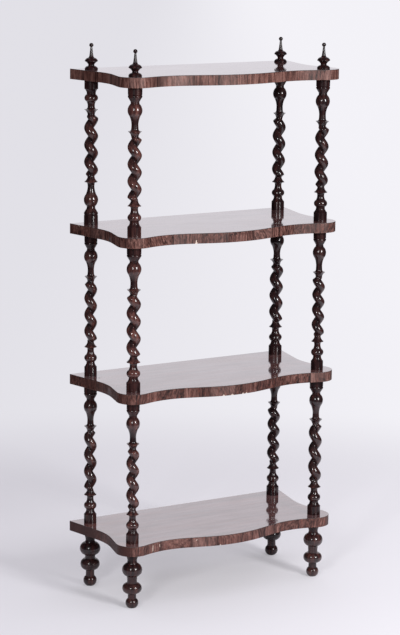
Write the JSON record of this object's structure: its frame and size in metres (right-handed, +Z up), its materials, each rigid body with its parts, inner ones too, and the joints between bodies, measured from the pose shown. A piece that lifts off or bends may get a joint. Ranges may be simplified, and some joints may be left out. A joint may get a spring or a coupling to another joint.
{
  "type": "etagere",
  "caption": "Open four-tier etagere with serpentine veneered shelves on barley-twist columns, turned feet and finials.",
  "frame": {"origin": "on the floor, under the middle of the shelves: half way across their width and half way between the straight back edge and the furthest point of the bowed front", "axes": "+Z up, the bowed front looks along -Y, the straight back edge along +Y, and +X is to the viewer's right from the front"},
  "size_m": [0.5714, 0.271, 1.25],
  "materials": {
    "turned_wood": "dark rosewood, French polished",
    "face_veneer": "rosewood veneer, French polished to a mirror",
    "edge_veneer": "cross-grained rosewood veneer, French polished, a little worn",
    "shelf_core": "stained and waxed underside",
    "dowel_wood": "bare beech, hidden"
  },
  "bodies": {
    "root": {"shelf_bottom_board": "shelf_core", "shelf_bottom_edge_veneer": "edge_veneer", "shelf_bottom_face_veneer": "face_veneer", "shelf_second_board": "shelf_core", "shelf_second_edge_veneer": "edge_veneer", "shelf_second_face_veneer": "face_veneer", "shelf_third_board": "shelf_core", "shelf_third_edge_veneer": "edge_veneer", "shelf_third_face_veneer": "face_veneer", "shelf_top_board": "shelf_core", "shelf_top_edge_veneer": "edge_veneer", "shelf_top_face_veneer": "face_veneer", "foot_front_left": "turned_wood", "finial_front_left": "turned_wood", "foot_front_right": "turned_wood", "finial_front_right": "turned_wood", "foot_rear_left": "turned_wood", "finial_rear_left": "turned_wood", "foot_rear_right": "turned_wood", "finial_rear_right": "turned_wood", "column_lower_front_left": "turned_wood", "column_lower_front_right": "turned_wood", "column_lower_rear_left": "turned_wood", "column_lower_rear_right": "turned_wood", "column_middle_front_left": "turned_wood", "column_middle_front_right": "turned_wood", "column_middle_rear_left": "turned_wood", "column_middle_rear_right": "turned_wood", "column_upper_front_left": "turned_wood", "column_upper_front_right": "turned_wood", "column_upper_rear_left": "turned_wood", "column_upper_rear_right": "turned_wood", "dowel_second_front_left": "dowel_wood", "dowel_second_front_right": "dowel_wood", "dowel_second_rear_left": "dowel_wood", "dowel_second_rear_right": "dowel_wood", "dowel_third_front_left": "dowel_wood", "dowel_third_front_right": "dowel_wood", "dowel_third_rear_left": "dowel_wood", "dowel_third_rear_right": "dowel_wood"}
  },
  "joints": []
}
